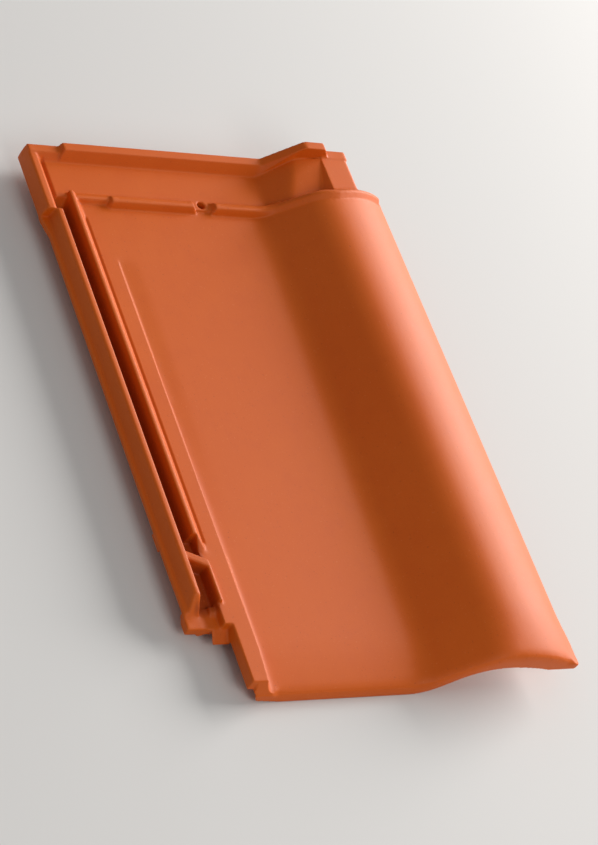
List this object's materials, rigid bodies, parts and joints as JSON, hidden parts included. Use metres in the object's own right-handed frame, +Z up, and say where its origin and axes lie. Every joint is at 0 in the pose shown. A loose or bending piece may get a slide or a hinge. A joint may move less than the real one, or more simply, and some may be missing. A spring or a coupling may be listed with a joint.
{
  "type": "interlocking clay roof tile",
  "caption": "Interlocking clay pantile with a flat pan, a rounded roll along one side, a ribbed side lock, a ribbed head lock with a nail hole and batten lugs underneath.",
  "frame": {"origin": "middle of the tile's outer box, on the floor it lies on", "axes": "+X from the side lock to the roll, +Y from the foot to the head, +Z up out of the weather face"},
  "size_m": [0.3102, 0.458, 0.0561],
  "materials": {
    "fired_clay": "matt fired terracotta, unglazed"
  },
  "bodies": {
    "root": {"roof_tile": "fired_clay"}
  },
  "joints": []
}
